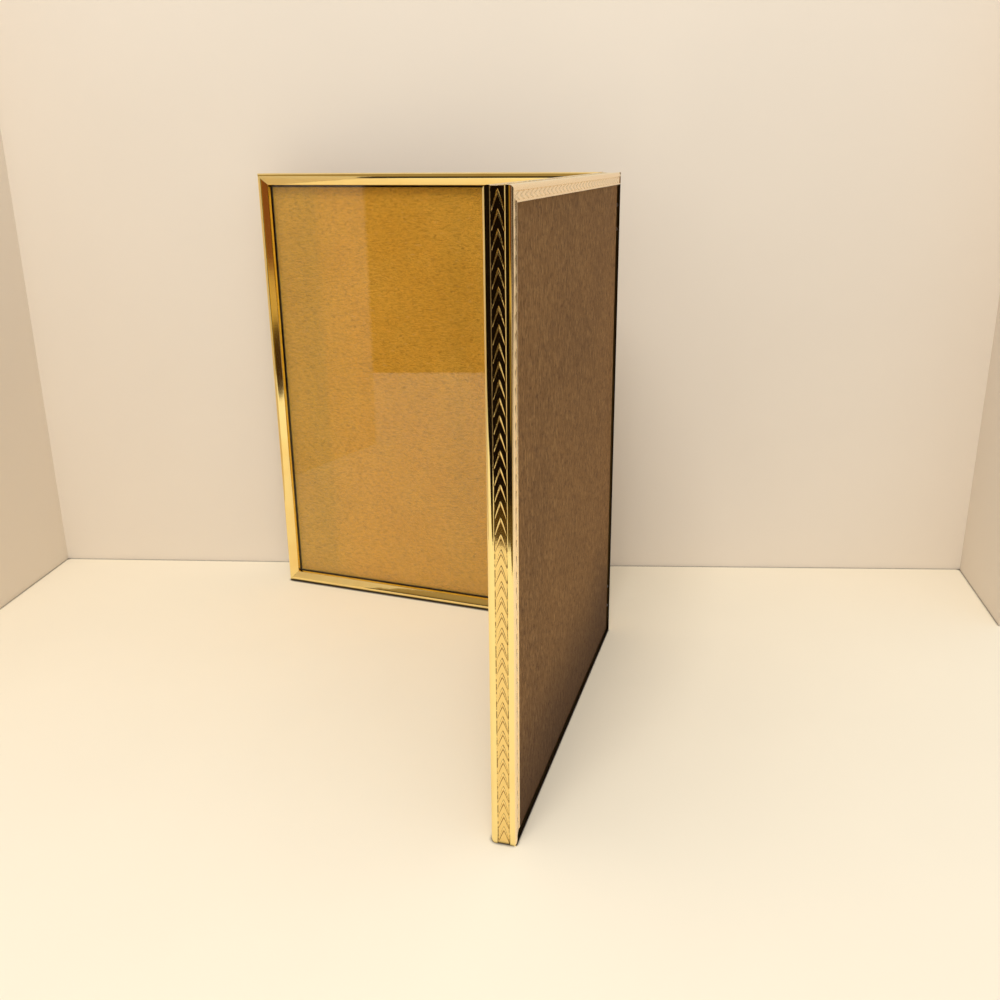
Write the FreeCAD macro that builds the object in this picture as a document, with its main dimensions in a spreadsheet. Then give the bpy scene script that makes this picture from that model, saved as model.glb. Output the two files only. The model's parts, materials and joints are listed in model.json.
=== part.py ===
import FreeCAD, Part
import math
import os

import Sketcher

# A hinged double picture frame that stands open like a book.
#
# Each leaf is modelled in its own flat frame: the hinge axis is the Z axis, the leaf
# reaches along +X (right leaf) or -X (left leaf), its front faces -Y and its foot is at
# Z = 0. A leaf is then turned about the hinge axis to the opening angle, and the whole
# frame is moved so that the origin lies under the middle of the open frame.

# ---------------------------------------------------------------- driving dimensions (mm)
SIZES = {
    # picture glass: the standard 8 by 10 inch size
    "glass_width": 203.2,
    "glass_height": 254.0,
    "glass_thickness": 2.0,
    "glass_fit": 1.0,            # from the edge of the glass to the wall of a rail
    # rolled metal rail
    "sheet_gauge": 0.6,
    "rail_depth": 11.0,          # foremost line to back face
    "face_width": 6.5,           # polished front lip
    "face_tilt": 30.0,           # slope of the front lip towards the glass, in degrees
    "lip_depth": 4.0,            # foremost line to the edge that holds the glass
    "flange_width": 6.0,         # back lip, on the top rail and the outer stile
    "front_rounding": 2.3,
    "back_rounding": 1.5,
    "lip_rounding": 0.8,         # inner edge of the front lip
    "hem_rounding": 0.45,        # inner edge of the back lip
    "side_land_front": 3.0,      # from the foremost line to the patterned band
    "side_land_back": 2.8,
    "flange_land_outer": 2.1,
    "flange_land_inner": 1.0,
    "band_recess": 0.25,         # depth of the patterned band below the plain strips
    "mitre_gap": 0.1,
    # corner brackets
    "bracket_leg": 10.0,
    "bracket_width": 6.0,
    "bracket_play": 0.2,         # from a bracket to the edge of the glass
    # what lies behind the glass
    "card_thickness": 0.4,
    "card_margin": 0.5,          # how far the card stays inside the outline of the glass
    "pad_margin": 1.5,
    "board_thickness": 2.5,
    "board_slack": 0.6,          # from the board to the back lip
    "board_gap_top": 2.2,        # from the board to the wall of the hinge stile
    "board_gap_bottom": 1.0,
    # hinges
    "pin_radius": 0.5,
    "pin_fit": 0.05,
    "pin_head_radius": 0.85,
    "pin_head_height": 0.4,
    "plate_gauge": 0.4,
    "plate_from_back": 0.9,      # from the plate's free edge to the back of the leaf
    "plate_play": 0.15,          # in front of a rivet head when the leaves lie flat
    "knuckle_gap": 0.15,
    "hinge_height": 24.0,
    "hinge_from_end": 10.0,
    "rivet_radius": 0.7,
    "rivet_fit": 0.05,
    "rivet_head_radius": 1.1,
    "rivet_head_height": 0.25,
    "rivet_from_back": 1.9,
    "rivet_from_plate_end": 6.0,
    # how the two leaves stand
    "closing_gap": 0.6,          # between the two front faces when the frame is shut
    "opening_angle": 94.8,       # between the two front faces, in degrees
}

doc = FreeCAD.newDocument("hinged_double_frame")
sheet = doc.addObject("Spreadsheet::Sheet", "Sizes")
for row, (alias, number) in enumerate(SIZES.items(), start=1):
    sheet.set(f"A{row}", alias)
    sheet.set(f"B{row}", str(number))
    sheet.setAlias(f"B{row}", alias)
doc.recompute()


# ---------------------------------------------------------------- formulas
class Formula:
    """A number together with the sheet formula that gives it."""

    def __init__(self, value, text):
        self.value = value
        self.text = text

    def __add__(self, other):
        other = formula(other)
        return Formula(self.value + other.value, f"({self.text} + {other.text})")

    def __sub__(self, other):
        other = formula(other)
        return Formula(self.value - other.value, f"({self.text} - {other.text})")

    def __mul__(self, other):
        other = formula(other)
        return Formula(self.value * other.value, f"({self.text} * {other.text})")

    def __truediv__(self, other):
        other = formula(other)
        return Formula(self.value / other.value, f"({self.text} / {other.text})")

    def __neg__(self):
        return Formula(-self.value, f"(0 - {self.text})")

    __radd__ = __add__
    __rmul__ = __mul__

    def __rsub__(self, other):
        return formula(other) - self


def formula(number):
    if isinstance(number, Formula):
        return number
    return Formula(float(number), repr(float(number)))


def sine(angle):
    return Formula(math.sin(math.radians(angle.value)), f"sin({angle.text})")


def cosine(angle):
    return Formula(math.cos(math.radians(angle.value)), f"cos({angle.text})")


def size(alias):
    return Formula(SIZES[alias], f"Sizes.{alias}")


ZERO = formula(0)
SHEET = size("sheet_gauge")
DEPTH = size("rail_depth")

# leaf outline
WALL_TO_GLASS = SHEET + size("glass_fit")
LEAF_HEIGHT = size("glass_height") + 2 * WALL_TO_GLASS
LEAF_WIDTH = size("glass_width") + 2 * WALL_TO_GLASS
BORE = size("pin_radius") + size("pin_fit")
BARREL = BORE + size("plate_gauge")
PLATE_FACE = size("rivet_head_height") + size("plate_play")
HINGE_SIDE = PLATE_FACE + size("plate_gauge")        # outer face of the hinge stile
FREE_SIDE = HINGE_SIDE + LEAF_WIDTH                  # outer face of the outer stile
FRONT = size("closing_gap") / 2                      # foremost line of the leaf
BACK = FRONT + DEPTH

# layers behind the front lip
GLASS_FRONT = FRONT + size("lip_depth")
CARD_FRONT = GLASS_FRONT + size("glass_thickness")
PAD_FRONT = CARD_FRONT + size("card_thickness")
BOARD_BACK = BACK - SHEET - size("board_slack")
BOARD_FRONT = BOARD_BACK - size("board_thickness")

# how far each leaf is turned from the flat position, and the place of the hinge axis
TURN = (180 - size("opening_angle")) / 2
NOTCH_Y = cosine(TURN) * BACK - sine(TURN) * HINGE_SIDE
CORNER_X = FREE_SIDE - size("front_rounding")
CORNER_Y = FRONT + size("front_rounding")
FREE_END_Y = cosine(TURN) * CORNER_Y - sine(TURN) * CORNER_X - size("front_rounding")
AXIS_Y = -(NOTCH_Y + FREE_END_Y) / 2

SIDES = {"left": -1, "right": 1}
exported = []


# ---------------------------------------------------------------- helpers
def new_part(label, side):
    """A body that stands where its leaf stands."""
    body = doc.addObject("PartDesign::Body", label)
    body.Label = label
    body.Placement = FreeCAD.Placement(FreeCAD.Vector(), FreeCAD.Rotation(FreeCAD.Vector(0, 0, 1), 1))
    body.setExpression("Placement.Base.y", AXIS_Y.text)
    body.setExpression("Placement.Rotation.Angle", (TURN * -side).text)
    exported.append(body)
    return body


def new_sketch(body, plane, offset=ZERO):
    """A sketch on an origin plane of the body, moved along the plane's normal."""
    sketch = body.newObject("Sketcher::SketchObject", f"{body.Label}_sketch")
    origin_plane = next(f for f in body.Origin.OriginFeatures if f.Role == plane)
    sketch.AttachmentSupport = [(origin_plane, "")]
    sketch.MapMode = "FlatFace"
    sketch.AttachmentOffset = FreeCAD.Placement(FreeCAD.Vector(0, 0, offset.value), FreeCAD.Rotation())
    sketch.setExpression("AttachmentOffset.Base.z", offset.text)
    return sketch


def bind(sketch, kind, *where, to):
    """A dimension of the sketch that follows the sheet."""
    index = sketch.addConstraint(Sketcher.Constraint(kind, *where, to.value))
    sketch.setExpression(f"Constraints[{index}]", to.text)


def draw_outline(sketch, corners):
    """A closed outline of straight lines. Each corner is a pair of formulas."""
    points = [FreeCAD.Vector(x.value, y.value, 0) for x, y in corners]
    first = sketch.GeometryCount
    count = len(points)
    for i, point in enumerate(points):
        sketch.addGeometry(Part.LineSegment(point, points[(i + 1) % count]))
    for i in range(count):
        following = first + (i + 1) % count
        sketch.addConstraint(Sketcher.Constraint("Coincident", first + i, 2, following, 1))
    for i, (x, y) in enumerate(corners):
        bind(sketch, "DistanceX", -1, 1, first + i, 1, to=x)
        bind(sketch, "DistanceY", -1, 1, first + i, 1, to=y)


def draw_circle(sketch, x, y, radius):
    centre = FreeCAD.Vector(x.value, y.value, 0)
    circle = sketch.addGeometry(Part.Circle(centre, FreeCAD.Vector(0, 0, 1), radius.value))
    bind(sketch, "DistanceX", -1, 1, circle, 3, to=x)
    bind(sketch, "DistanceY", -1, 1, circle, 3, to=y)
    bind(sketch, "Radius", circle, to=radius)


def pad(body, sketch, length, backwards=False):
    feature = body.newObject("PartDesign::Pad", f"{body.Label}_pad")
    feature.Profile = sketch
    feature.Reversed = backwards
    feature.Length = length.value
    feature.setExpression("Length", length.text)
    doc.recompute()
    return feature


def pocket(body, sketch, length, backwards=False):
    """A cut that must remove metal."""
    before = body.Tip.Shape.Volume
    feature = body.newObject("PartDesign::Pocket", f"{body.Label}_pocket")
    feature.Profile = sketch
    feature.Reversed = backwards
    feature.Length = length.value
    feature.setExpression("Length", length.text)
    doc.recompute()
    if not body.Tip.Shape.Volume < before:
        raise RuntimeError(f"{body.Label}: a pocket cut nothing")
    return feature


def edges_along(body, direction, x=None, y=None, z=None):
    """The names of the straight edges that run along a direction through a given place."""
    names = []
    for number, edge in enumerate(body.Tip.Shape.Edges, start=1):
        ends = [vertex.Point for vertex in edge.Vertexes]
        if len(ends) != 2 or abs((ends[1] - ends[0]).normalize().dot(direction)) < 0.999999:
            continue
        middle = (ends[0] + ends[1]) / 2
        wanted = ((middle.x, x), (middle.y, y), (middle.z, z))
        if all(place is None or abs(found - place.value) < 1e-4 for found, place in wanted):
            names.append(f"Edge{number}")
    return names


def round_edges(body, names, radius):
    base = body.Tip
    feature = body.newObject("PartDesign::Fillet", f"{body.Label}_rounding")
    feature.Base = (base, names)
    feature.Radius = radius.value
    feature.setExpression("Radius", radius.text)
    doc.recompute()
    return feature


# ---------------------------------------------------------------- rails
# The front lip slopes from the rounded outer edge towards the glass. Before its rounding,
# the sharp outer corner lies this far in front of the foremost line of the leaf.
TILT = size("face_tilt")
SHARP_CORNER = size("front_rounding") * ((sine(TILT) + 1) / cosine(TILT) - 1)


def slope(inward, gauge=ZERO):
    """How far back the front lip lies. gauge is the metal in front of the wanted face."""
    return sine(TILT) / cosine(TILT) * inward + gauge / cosine(TILT) - SHARP_CORNER


def rail_section(flanged):
    """The section of the rolled rail as (inward, back) pairs from its outer front corner."""
    recess = size("band_recess")
    front_land = size("side_land_front")
    back_land = DEPTH - size("side_land_back")
    lip_inside = size("face_width") - SHEET
    corners = [
        (ZERO, slope(ZERO)),
        (size("face_width"), slope(size("face_width"))),
        (size("face_width"), size("lip_depth")),
        (lip_inside, size("lip_depth")),
        (lip_inside, slope(lip_inside, SHEET)),
        (SHEET, slope(SHEET, SHEET)),
    ]
    if flanged:
        lip = size("flange_width")
        outer_land = size("flange_land_outer")
        inner_land = lip - size("flange_land_inner")
        corners += [
            (SHEET, DEPTH - SHEET),
            (lip, DEPTH - SHEET),
            (lip, DEPTH),
            (inner_land, DEPTH),
            (inner_land - recess, DEPTH - recess),
            (outer_land + recess, DEPTH - recess),
            (outer_land, DEPTH),
        ]
    else:
        corners += [(SHEET, DEPTH)]
    corners += [
        (ZERO, DEPTH),
        (ZERO, back_land),
        (recess, back_land - recess),
        (recess, front_land + recess),
        (ZERO, front_land),
    ]
    return corners


def rail_roundings(flanged):
    """Where the section is rounded: (inward, back, radius)."""
    lip_inside = size("face_width") - SHEET
    roundings = [
        (ZERO, slope(ZERO), size("front_rounding")),
        (SHEET, slope(SHEET, SHEET), size("front_rounding") - SHEET),
        (size("face_width"), slope(size("face_width")), size("lip_rounding")),
        (lip_inside, slope(lip_inside, SHEET), size("lip_rounding") - SHEET),
    ]
    if flanged:
        roundings += [
            (ZERO, DEPTH, size("back_rounding")),
            (SHEET, DEPTH - SHEET, size("back_rounding") - SHEET),
            (size("flange_width"), DEPTH, size("hem_rounding")),
        ]
    return roundings


MITRE_REACH = size("face_width") + size("flange_width")
MITRE_SHIFT = size("mitre_gap") / math.sqrt(2)
PAST = formula(1)


def mitre_cuts(upright, wall, inward, ends):
    """Outlines, in the leaf's plane, that trim both ends of a rail at 45 degrees.

    wall is the place of the rail's outer face across its length, inward is +1 or -1,
    and ends are the places of the leaf's corners along its length.
    """
    cuts = []
    for corner, onward in zip(ends, (1, -1)):
        near = wall - PAST * inward
        deep = wall + MITRE_REACH * inward
        beyond = corner - PAST * onward * 4
        line_near = corner + (MITRE_SHIFT - PAST) * onward
        line_deep = corner + (MITRE_SHIFT + MITRE_REACH) * onward
        outline = [(near, beyond), (deep, beyond), (deep, line_deep), (near, line_near)]
        cuts.append(outline if upright else [(along, across) for across, along in outline])
    return cuts


def make_rail(side_name, rail_name, upright, wall, inward, flanged):
    side = SIDES[side_name]
    body = new_part(f"{side_name}_{rail_name}", side)
    section = rail_section(flanged)
    if upright:
        sketch = new_sketch(body, "XY_Plane")
        draw_outline(sketch, [((wall + u * inward) * side, FRONT + v) for u, v in section])
        pad(body, sketch, LEAF_HEIGHT)
        along = FreeCAD.Vector(0, 0, 1)
    else:
        sketch = new_sketch(body, "YZ_Plane")
        draw_outline(sketch, [(FRONT + v, wall + u * inward) for u, v in section])
        pad(body, sketch, FREE_SIDE, backwards=side < 0)
        along = FreeCAD.Vector(1, 0, 0)
    for u, v, radius in rail_roundings(flanged):
        across = wall + u * inward
        place = {"x": across * side} if upright else {"z": across}
        round_edges(body, edges_along(body, along, y=FRONT + v, **place), radius)
    ends = (ZERO, LEAF_HEIGHT) if upright else (HINGE_SIDE, FREE_SIDE)
    sketch = new_sketch(body, "XZ_Plane")
    for outline in mitre_cuts(upright, wall, inward, ends):
        draw_outline(sketch, [(x * side, z) for x, z in outline])
    pocket(body, sketch, BACK + PAST)
    return body


# ---------------------------------------------------------------- sheets behind the lip
def make_sheet(side_name, sheet_name, front, thickness, outline):
    """A flat sheet: its outline in the leaf's plane and the place of its front face."""
    side = SIDES[side_name]
    body = new_part(f"{side_name}_{sheet_name}", side)
    sketch = new_sketch(body, "XZ_Plane", -front)
    draw_outline(sketch, [(x * side, z) for x, z in outline])
    pad(body, sketch, thickness, backwards=True)
    return body


def rectangle(margin):
    """The outline of the glass, drawn in by a margin."""
    low_x = HINGE_SIDE + WALL_TO_GLASS + margin
    high_x = FREE_SIDE - WALL_TO_GLASS - margin
    low_z = WALL_TO_GLASS + margin
    high_z = LEAF_HEIGHT - WALL_TO_GLASS - margin
    return [(low_x, low_z), (high_x, low_z), (high_x, high_z), (low_x, high_z)]


def board_outline():
    """The back board is cut a little out of square along the hinge stile."""
    _, outer_foot, outer_head, _ = rectangle(ZERO)
    inner_wall = HINGE_SIDE + SHEET
    hinge_foot = (inner_wall + size("board_gap_bottom"), outer_foot[1])
    hinge_head = (inner_wall + size("board_gap_top"), outer_head[1])
    return [hinge_foot, outer_foot, outer_head, hinge_head]


def make_bracket(side_name, bracket_name, corner_x, corner_z, inward_x, inward_z):
    """A thin angle that joins two rails in the gap between their walls and the glass."""
    side = SIDES[side_name]
    gauge = size("glass_fit") - size("bracket_play")
    leg = size("bracket_leg")
    front = FRONT + (DEPTH - size("bracket_width")) / 2
    steps = [(ZERO, ZERO), (leg, ZERO), (leg, gauge), (gauge, gauge), (gauge, leg), (ZERO, leg)]
    outline = [
        (corner_x + (SHEET + a) * inward_x, corner_z + (SHEET + b) * inward_z) for a, b in steps
    ]
    body = new_part(f"{side_name}_{bracket_name}", side)
    sketch = new_sketch(body, "XZ_Plane", -front)
    draw_outline(sketch, [(x * side, z) for x, z in outline])
    pad(body, sketch, size("bracket_width"), backwards=True)
    return body


# ---------------------------------------------------------------- hinges
HINGE_FEET = {
    "lower": size("hinge_from_end"),
    "upper": LEAF_HEIGHT - size("hinge_from_end") - size("hinge_height"),
}
RIVET_DEPTH = BACK - size("rivet_from_back")
RIVET_RISES = (
    size("rivet_from_plate_end"),
    size("hinge_height") - size("rivet_from_plate_end"),
)
RIVET_HOLE = size("rivet_radius") + size("rivet_fit")
KNUCKLE = size("hinge_height") / 3


def draw_rivet_circles(sketch, feet, radius):
    """One circle for each rivet of the hinges whose lower ends are given."""
    for foot in feet:
        for rise in RIVET_RISES:
            draw_circle(sketch, RIVET_DEPTH, foot + rise, radius)


def add_disc(body, z, radius, height):
    sketch = new_sketch(body, "XY_Plane", z)
    draw_circle(sketch, ZERO, ZERO, radius)
    pad(body, sketch, height)


def add_plate_strip(body, side, y_low, y_high, z, height):
    sketch = new_sketch(body, "XY_Plane", z)
    corners = [(PLATE_FACE, y_low), (HINGE_SIDE, y_low), (HINGE_SIDE, y_high), (PLATE_FACE, y_high)]
    draw_outline(sketch, [(x * side, y) for x, y in corners])
    pad(body, sketch, height)


def make_hinge_plate(side_name, level, knuckles):
    """A flat plate with knuckles rolled round the pin. knuckles are (start, end) heights."""
    side = SIDES[side_name]
    foot = HINGE_FEET[level]
    body = new_part(f"{side_name}_{level}_hinge_plate", side)
    notch = BARREL + size("knuckle_gap")
    add_plate_strip(body, side, notch, BACK - size("plate_from_back"), foot, size("hinge_height"))
    for start, end in knuckles:
        add_plate_strip(body, side, size("pin_radius") / 2, notch, foot + start, end - start)
        add_disc(body, foot + start, BARREL, end - start)
    sketch = new_sketch(body, "XY_Plane", foot + size("hinge_height"))
    draw_circle(sketch, ZERO, ZERO, BORE)
    pocket(body, sketch, size("hinge_height"))
    drill_rivet_holes(body, side, [foot])
    return body


def drill_rivet_holes(body, side, feet):
    """Holes along X through a plate or a wall on the hinge side of the leaf."""
    sketch = new_sketch(body, "YZ_Plane")
    draw_rivet_circles(sketch, feet, RIVET_HOLE)
    pocket(body, sketch, HINGE_SIDE + SHEET, backwards=side > 0)


def make_rivets(side_name):
    """The rivets that hold both hinges to one leaf: shanks, then outer and inner heads."""
    side = SIDES[side_name]
    body = new_part(f"{side_name}_hinge_rivets", side)
    head = size("rivet_head_height")
    lengths = (
        (PLATE_FACE, size("plate_gauge") + SHEET, size("rivet_radius")),
        (PLATE_FACE - head, head, size("rivet_head_radius")),
        (HINGE_SIDE + SHEET, head, size("rivet_head_radius")),
    )
    for start, length, radius in lengths:
        sketch = new_sketch(body, "YZ_Plane", start * side)
        draw_rivet_circles(sketch, HINGE_FEET.values(), radius)
        pad(body, sketch, length, backwards=side < 0)
    return body


def make_pin(level):
    """A hinge pin with a head at each end."""
    foot = HINGE_FEET[level]
    top = foot + size("hinge_height")
    shank = size("pin_radius")
    head = size("pin_head_radius")
    rise = size("pin_head_height")
    body = new_part(f"{level}_hinge_pin", SIDES["left"])
    sketch = new_sketch(body, "XZ_Plane")
    profile = [
        (ZERO, foot - rise), (head, foot - rise), (head, foot), (shank, foot),
        (shank, top), (head, top), (head, top + rise), (ZERO, top + rise),
    ]
    draw_outline(sketch, profile)
    turned = body.newObject("PartDesign::Revolution", f"{body.Label}_turned")
    turned.Profile = sketch
    turned.ReferenceAxis = (sketch, ["V_Axis"])
    turned.Angle = 360
    doc.recompute()
    return body


# ---------------------------------------------------------------- the two leaves
KNUCKLE_PLAY = size("knuckle_gap") / 2
KNUCKLES = {
    "left": [(ZERO, KNUCKLE - KNUCKLE_PLAY), (KNUCKLE * 2 + KNUCKLE_PLAY, KNUCKLE * 3)],
    "right": [(KNUCKLE + KNUCKLE_PLAY, KNUCKLE * 2 - KNUCKLE_PLAY)],
}

for side_name in SIDES:
    make_rail(side_name, "outer_stile", True, FREE_SIDE, -1, flanged=True)
    make_rail(side_name, "top_rail", False, LEAF_HEIGHT, -1, flanged=True)
    make_rail(side_name, "bottom_rail", False, ZERO, 1, flanged=False)
    hinge_stile = make_rail(side_name, "hinge_stile", True, HINGE_SIDE, 1, flanged=False)
    drill_rivet_holes(hinge_stile, SIDES[side_name], HINGE_FEET.values())
    for end_name, z, inward_z in (("top", LEAF_HEIGHT, -1), ("bottom", ZERO, 1)):
        for edge_name, x, inward_x in (("outer", FREE_SIDE, -1), ("hinge", HINGE_SIDE, 1)):
            make_bracket(side_name, f"{end_name}_{edge_name}_bracket", x, z, inward_x, inward_z)
    make_sheet(side_name, "glass", GLASS_FRONT, size("glass_thickness"), rectangle(ZERO))
    make_sheet(
        side_name, "picture_card", CARD_FRONT, size("card_thickness"), rectangle(size("card_margin"))
    )
    make_sheet(
        side_name, "filler_pad", PAD_FRONT, BOARD_FRONT - PAD_FRONT, rectangle(size("pad_margin"))
    )
    make_sheet(side_name, "back_board", BOARD_FRONT, size("board_thickness"), board_outline())
    for level in HINGE_FEET:
        make_hinge_plate(side_name, level, KNUCKLES[side_name])
    make_rivets(side_name)
for level in HINGE_FEET:
    make_pin(level)

# ---------------------------------------------------------------- checks and export
doc.recompute()
for item in doc.Objects:
    if "Invalid" in item.State or "Error" in item.State:
        raise RuntimeError(f"{item.Label} failed: {item.State}")
for body in exported:
    if body.Shape.isNull() or not body.Shape.isValid():
        raise RuntimeError(f"{body.Label} has no valid shape")

os.makedirs("parts", exist_ok=True)
for body in exported:
    body.Shape.exportStep(os.path.join("parts", f"{body.Label}.step"))
    print(f"{body.Label}: {len(body.Shape.Solids)} solid, {body.Shape.Volume:.1f} mm3")
box = Part.makeCompound([body.Shape for body in exported]).optimalBoundingBox()
print(f"{len(exported)} nodes, {box.XLength:.2f} x {box.YLength:.2f} x {box.ZLength:.2f} mm")
print(f"centre of the base {box.Center.x:.3f}, {box.Center.y:.3f}, lowest point {box.ZMin:.3f}")
print(f"leaf {LEAF_WIDTH.value:.2f} x {LEAF_HEIGHT.value:.2f} mm, hinge axis at y {AXIS_Y.value:.3f}")
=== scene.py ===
# %% [markdown]
# # A hinged double picture frame
#
# Two glazed leaves in rolled, gold-plated rails stand open like a book. The CAD model fixes
# every size. This lesson dresses it: smooth polished rails with a pressed leaf pattern,
# glass that lets its card be seen, brown back boards, brass hinges, and the pale box in
# which the frame was photographed.
#
# Everything is in metres in the frame's own coordinates, so each piece is made at its place.

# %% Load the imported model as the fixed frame
import json
import math

import bmesh
import bpy
from mathutils import Matrix, Vector


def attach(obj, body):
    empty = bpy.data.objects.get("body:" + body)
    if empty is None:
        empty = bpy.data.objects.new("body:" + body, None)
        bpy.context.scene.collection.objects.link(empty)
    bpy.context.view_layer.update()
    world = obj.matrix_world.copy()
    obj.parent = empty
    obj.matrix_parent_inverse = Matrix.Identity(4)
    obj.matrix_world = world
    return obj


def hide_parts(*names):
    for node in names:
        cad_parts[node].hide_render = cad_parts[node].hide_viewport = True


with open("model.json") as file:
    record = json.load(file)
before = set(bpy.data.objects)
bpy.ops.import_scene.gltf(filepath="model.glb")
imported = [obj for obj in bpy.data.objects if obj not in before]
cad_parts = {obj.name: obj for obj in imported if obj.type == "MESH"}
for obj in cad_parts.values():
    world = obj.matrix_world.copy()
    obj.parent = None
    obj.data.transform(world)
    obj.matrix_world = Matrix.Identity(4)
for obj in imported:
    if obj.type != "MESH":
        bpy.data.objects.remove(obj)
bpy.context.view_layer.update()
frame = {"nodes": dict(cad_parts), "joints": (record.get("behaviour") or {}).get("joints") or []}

# %% [markdown]
# ## The leaf's own coordinates
#
# A leaf is easiest to draw flat: x runs from the hinge axis towards the free end, y runs
# from front to back and z is height. The hinge joint gives the place of the axis and how
# far the leaves stand open, and each leaf is turned about that axis. Sizes are written in
# millimetres, because the rails are a few millimetres wide, and are turned to metres last.

# %% Sizes of the leaf and its place
MM = 0.001
SIDES = {"left": -1, "right": 1}
HINGE = frame["joints"][0]
HINGE_AXIS = Vector(HINGE["pos_m"])
OPENING = -HINGE["range_deg"][0]
TURN = math.radians((180 - OPENING) / 2)

LEAF_HEIGHT = 257.2
HINGE_SIDE = 0.8
FREE_SIDE = HINGE_SIDE + 206.4
FRONT = 0.3
DEPTH = 11.0


def leaf_matrix(side):
    """Turns millimetres in the leaf's own coordinates into metres in the frame's."""
    turned = Matrix.Rotation(-TURN * side, 4, "Z")
    return Matrix.Translation(HINGE_AXIS) @ turned @ Matrix.Scale(MM, 4)


def place(side, x, y, z):
    """A point of a leaf, from its own millimetres to the frame's metres."""
    return leaf_matrix(side) @ Vector((x * side, y, z))


free_end = place(SIDES["right"], FREE_SIDE, FRONT, 0)
print("opening", OPENING, "degrees; free end at", [round(v, 4) for v in free_end])

# %% [markdown]
# ## Sums in a material
#
# A procedural material is mostly arithmetic on coordinates. Wiring each Math node by hand
# hides the idea, so a small class wraps a socket, and Python's own operators add the nodes.
# A second class is a node tree with one method that adds any node. The material built on
# it names the nodes that every finish here needs: noise, a blend of colours and a bump.

# %% A socket that takes part in Python sums
class Term:
    """A number that varies over the surface. Sums on it add Math nodes."""

    def __init__(self, tree, socket):
        self.tree = tree
        self.socket = socket

    def math(self, operation, *others):
        values = {i: v for i, v in enumerate((self, *others))}
        return self.tree.node("ShaderNodeMath", {"operation": operation}, values)

    def __add__(self, other):
        return self.math("ADD", other)

    def __sub__(self, other):
        return self.math("SUBTRACT", other)

    def __rsub__(self, other):
        return self.tree.node("ShaderNodeMath", {"operation": "SUBTRACT"}, {0: other, 1: self})

    def __mul__(self, other):
        return self.math("MULTIPLY", other)

    def __pow__(self, other):
        return self.math("POWER", other)

    __radd__ = __add__
    __rmul__ = __mul__

    def least(self, other):
        return self.math("MINIMUM", other)

    def limited(self):
        """The same number, held between 0 and 1."""
        return self.tree.node("ShaderNodeClamp", {}, {"Value": self})

    def ramp(self, start, end):
        """0 below start, 1 above end and smooth between them."""
        settings = {"interpolation_type": "SMOOTHSTEP"}
        limits = {"Value": self, "From Min": start, "From Max": end}
        return self.tree.node("ShaderNodeMapRange", settings, limits)


print("a socket can be added, subtracted, multiplied and raised to a power")


# %% A tree of nodes
class Tree:
    """A node tree and the one method that adds nodes to it."""

    def __init__(self, tree):
        self.nodes = tree.nodes
        self.links = tree.links

    def node(self, kind, settings=None, inputs=None, output=0):
        node = self.nodes.new(kind)
        for key, value in (settings or {}).items():
            setattr(node, key, value)
        for key, value in (inputs or {}).items():
            if isinstance(value, Term):
                self.links.new(value.socket, node.inputs[key])
            else:
                node.inputs[key].default_value = value
        return Term(self, node.outputs[output])

    def parts(self, vector):
        """The three numbers of a vector."""
        first = self.node("ShaderNodeSeparateXYZ", {}, {0: vector})
        return [Term(self, socket) for socket in first.socket.node.outputs]


print("a node is added by its type, its settings and its inputs")


# %% A material that is such a tree
class Finish(Tree):
    """A material, or the world, that is built from nodes."""

    def __init__(self, name, owner=None):
        self.material = owner or bpy.data.materials.new(name)
        self.material.use_nodes = True
        super().__init__(self.material.node_tree)
        self.nodes.clear()

    def coordinates(self, stretch=(1, 1, 1)):
        """Object coordinates, stretched along each axis."""
        spot = self.node("ShaderNodeTexCoord", output="Object")
        return self.node("ShaderNodeMapping", {}, {"Vector": spot, "Scale": stretch})

    def mark(self, name):
        """A number that the points of the mesh carry under this name."""
        return self.node("ShaderNodeAttribute", {"attribute_name": name}, output="Fac")

    def noise(self, vector, scale, detail=2.0, roughness=0.5, distortion=0.0):
        inputs = {
            "Vector": vector, "Scale": scale, "Detail": detail,
            "Roughness": roughness, "Distortion": distortion,
        }
        return self.node("ShaderNodeTexNoise", {"noise_dimensions": "3D"}, inputs)

    def mix(self, factor, first, second):
        """A blend of two colours."""
        settings = {"data_type": "RGBA", "blend_type": "MIX"}
        colours = {6: first, 7: second}         # the colour sockets of a Mix node
        return self.node("ShaderNodeMix", settings, {"Factor": factor, **colours}, output=2)

    def bump(self, height, distance):
        """Relief of so many metres from a height between 0 and 1."""
        inputs = {"Height": height, "Distance": distance, "Strength": 1.0}
        return self.node("ShaderNodeBump", {}, inputs)

    def finish(self, shader, output="ShaderNodeOutputMaterial"):
        self.links.new(shader.socket, self.nodes.new(output).inputs["Surface"])
        return self.material

    def principled(self, **inputs):
        """Ends the material in a Principled shader. Names use _ for a space."""
        named = {key.replace("_", " "): value for key, value in inputs.items()}
        return self.finish(self.node("ShaderNodeBsdfPrincipled", {}, named))


print("a finish starts empty and ends in its output node")


# %% Colours as they look on screen
def rgb(red, green, blue):
    """A colour that is given as it looks on screen, turned into the linear values of light."""
    shares = (red / 255, green / 255, blue / 255)
    linear = [v / 12.92 if v <= 0.04045 else ((v + 0.055) / 1.055) ** 2.4 for v in shares]
    return (*linear, 1.0)


print("a middle grey of 128 is", round(rgb(128, 128, 128)[0], 3), "of the light of white")
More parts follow.
